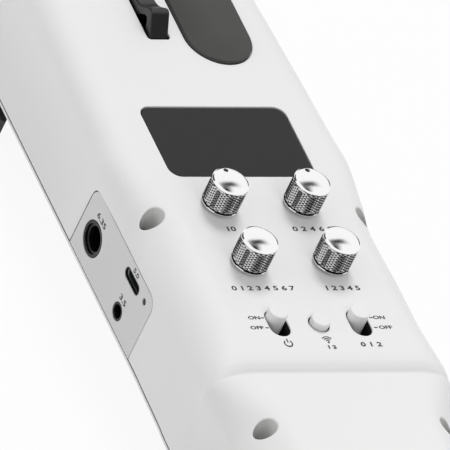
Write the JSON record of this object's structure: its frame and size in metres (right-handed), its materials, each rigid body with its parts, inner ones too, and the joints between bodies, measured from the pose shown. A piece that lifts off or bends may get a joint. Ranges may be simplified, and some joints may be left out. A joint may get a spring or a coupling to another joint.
{
  "type": "digital wind controller",
  "caption": "Straight electronic wind instrument: breath mouthpiece, finger keys, thumb lever and pad, display window, turning knobs, slide switches and a side socket panel.",
  "frame": {"origin": "centre of the bounding box, on the surface that the rest bars stand on", "axes": "+Y along the body from the bell end to the mouthpiece, +Z out of the control face, +X to the right as the controls are read"},
  "size_m": [0.0744, 0.615, 0.0785],
  "materials": {
    "shell_white": "near-white moulded shell, light satin",
    "window_dark": "flat dark grey window",
    "chrome": "polished, diamond knurled sides",
    "black_plastic": "satin black",
    "soft_rubber": "soft dark grey",
    "steel": "bright steel",
    "board_green": "circuit board",
    "battery_wrap": "shrink wrap",
    "can_grey": "component cases"
  },
  "bodies": {
    "body": {"rear_shell": "shell_white", "front_shell": "shell_white", "bell_cap": "black_plastic", "jack_panel": "shell_white", "display_window": "window_dark", "display_module": "can_grey", "main_board": "board_green", "jack_board": "board_green", "battery_pack": "battery_wrap", "encoder_upper_left": "can_grey", "encoder_upper_right": "can_grey", "encoder_lower_left": "can_grey", "encoder_lower_right": "can_grey", "slide_switch_left": "can_grey", "slide_switch_right": "can_grey", "button_switch": "can_grey", "output_jack": "black_plastic", "usb_port": "steel", "phones_jack": "black_plastic", "case_screw_1": "steel", "case_screw_2": "steel", "case_screw_3": "steel", "case_screw_4": "steel", "thumb_pad": "soft_rubber", "lever_pin": "steel", "thumb_rest": "soft_rubber", "octave_pin_upper": "steel", "octave_pin_lower": "steel", "strap_ring": "steel", "right_hand_rod": "steel", "left_hand_rod": "steel", "side_rod": "steel", "rest_bar_lower": "soft_rubber", "rest_bar_upper": "soft_rubber", "neck_collar": "chrome", "neck": "black_plastic", "mouthpiece": "black_plastic", "reed": "soft_rubber", "breath_sensor": "can_grey"},
    "knob_upper_left": {"knob_upper_left": "chrome"},
    "knob_upper_right": {"knob_upper_right": "chrome"},
    "knob_lower_left": {"knob_lower_left": "chrome"},
    "knob_lower_right": {"knob_lower_right": "chrome"},
    "slide_cap_left": {"slide_cap_left": "shell_white"},
    "slide_cap_right": {"slide_cap_right": "shell_white"},
    "centre_button": {"centre_button": "shell_white"},
    "thumb_lever": {"thumb_lever": "black_plastic"},
    "octave_key_upper": {"octave_key_upper": "black_plastic"},
    "octave_key_lower": {"octave_key_lower": "black_plastic"},
    "right_little_key_1": {"right_little_key_1": "black_plastic"},
    "right_little_key_2": {"right_little_key_2": "black_plastic"},
    "right_key_1": {"right_key_1": "black_plastic"},
    "right_key_2": {"right_key_2": "black_plastic"},
    "right_key_3": {"right_key_3": "black_plastic"},
    "left_little_key_1": {"left_little_key_1": "black_plastic"},
    "left_little_key_2": {"left_little_key_2": "black_plastic"},
    "left_key_1": {"left_key_1": "black_plastic"},
    "left_key_2": {"left_key_2": "black_plastic"},
    "left_key_3": {"left_key_3": "black_plastic"},
    "side_key": {"side_key": "black_plastic"}
  },
  "joints": [
    {"name": "knob_upper_left_turn", "type": "hinge", "parent": "body", "child": "knob_upper_left", "pos_m": [-0.0121, -0.13007, 0.047], "axis": [0, 0, 1], "range_deg": [-150, 150]},
    {"name": "knob_upper_right_turn", "type": "hinge", "parent": "body", "child": "knob_upper_right", "pos_m": [0.0121, -0.13007, 0.047], "axis": [0, 0, 1], "range_deg": [-150, 150]},
    {"name": "knob_lower_left_turn", "type": "hinge", "parent": "body", "child": "knob_lower_left", "pos_m": [-0.0121, -0.15127, 0.047], "axis": [0, 0, 1], "continuous": true},
    {"name": "knob_lower_right_turn", "type": "hinge", "parent": "body", "child": "knob_lower_right", "pos_m": [0.0121, -0.15127, 0.047], "axis": [0, 0, 1], "continuous": true},
    {"name": "slide_cap_left_slide", "type": "slide", "parent": "body", "child": "slide_cap_left", "axis": [0, 1, 0], "range_m": [-0.0035, 0]},
    {"name": "slide_cap_right_slide", "type": "slide", "parent": "body", "child": "slide_cap_right", "axis": [0, 1, 0], "range_m": [-0.0035, 0]},
    {"name": "centre_button_press", "type": "slide", "parent": "body", "child": "centre_button", "axis": [0, 0, -1], "range_m": [0, 0.0005], "stiffness_N_per_m": 400, "springref_m": -0.0006},
    {"name": "thumb_lever_rock", "type": "hinge", "parent": "body", "child": "thumb_lever", "pos_m": [-0.00495, -0.05567, 0.0424], "axis": [1, 0, 0], "range_deg": [-8, 8], "stiffness_Nm_per_rad": 0.05},
    {"name": "octave_key_upper_press", "type": "hinge", "parent": "body", "child": "octave_key_upper", "pos_m": [0, 0.16083, 0.0515], "axis": [1, 0, 0], "range_deg": [0, 6], "stiffness_Nm_per_rad": 0.02, "springref_deg": -20.05},
    {"name": "octave_key_lower_press", "type": "hinge", "parent": "body", "child": "octave_key_lower", "pos_m": [0, 0.08883, 0.0515], "axis": [-1, 0, 0], "range_deg": [0, 6], "stiffness_Nm_per_rad": 0.02, "springref_deg": -20.05},
    {"name": "right_little_key_1_press", "type": "hinge", "parent": "body", "child": "right_little_key_1", "pos_m": [0.016, -0.09917, 0.0051], "axis": [0, 1, 0], "range_deg": [0, 5.5], "stiffness_Nm_per_rad": 0.02, "springref_deg": -20.05},
    {"name": "right_little_key_2_press", "type": "hinge", "parent": "body", "child": "right_little_key_2", "pos_m": [0.016, -0.07417, 0.0051], "axis": [0, 1, 0], "range_deg": [0, 5.5], "stiffness_Nm_per_rad": 0.02, "springref_deg": -20.05},
    {"name": "right_key_1_press", "type": "hinge", "parent": "body", "child": "right_key_1", "pos_m": [0.016, -0.04917, 0.0051], "axis": [0, 1, 0], "range_deg": [0, 7], "stiffness_Nm_per_rad": 0.02, "springref_deg": -20.05},
    {"name": "right_key_2_press", "type": "hinge", "parent": "body", "child": "right_key_2", "pos_m": [0.016, -0.02417, 0.0051], "axis": [0, 1, 0], "range_deg": [0, 7], "stiffness_Nm_per_rad": 0.02, "springref_deg": -20.05},
    {"name": "right_key_3_press", "type": "hinge", "parent": "body", "child": "right_key_3", "pos_m": [0.016, 0.00083, 0.0051], "axis": [0, 1, 0], "range_deg": [0, 7], "stiffness_Nm_per_rad": 0.02, "springref_deg": -20.05},
    {"name": "left_little_key_1_press", "type": "hinge", "parent": "body", "child": "left_little_key_1", "pos_m": [0.016, 0.05883, 0.0051], "axis": [0, 1, 0], "range_deg": [0, 5.5], "stiffness_Nm_per_rad": 0.02, "springref_deg": -20.05},
    {"name": "left_little_key_2_press", "type": "hinge", "parent": "body", "child": "left_little_key_2", "pos_m": [0.016, 0.08383, 0.0051], "axis": [0, 1, 0], "range_deg": [0, 5.5], "stiffness_Nm_per_rad": 0.02, "springref_deg": -20.05},
    {"name": "left_key_1_press", "type": "hinge", "parent": "body", "child": "left_key_1", "pos_m": [0.016, 0.10883, 0.0051], "axis": [0, 1, 0], "range_deg": [0, 7], "stiffness_Nm_per_rad": 0.02, "springref_deg": -20.05},
    {"name": "left_key_2_press", "type": "hinge", "parent": "body", "child": "left_key_2", "pos_m": [0.016, 0.13383, 0.0051], "axis": [0, 1, 0], "range_deg": [0, 7], "stiffness_Nm_per_rad": 0.02, "springref_deg": -20.05},
    {"name": "left_key_3_press", "type": "hinge", "parent": "body", "child": "left_key_3", "pos_m": [0.016, 0.15883, 0.0051], "axis": [0, 1, 0], "range_deg": [0, 7], "stiffness_Nm_per_rad": 0.02, "springref_deg": -20.05},
    {"name": "side_key_press", "type": "hinge", "parent": "body", "child": "side_key", "pos_m": [-0.02189, -0.04017, 0.0051], "axis": [0, 1, 0], "range_deg": [0, 6], "stiffness_Nm_per_rad": 0.02, "springref_deg": -20.05}
  ]
}
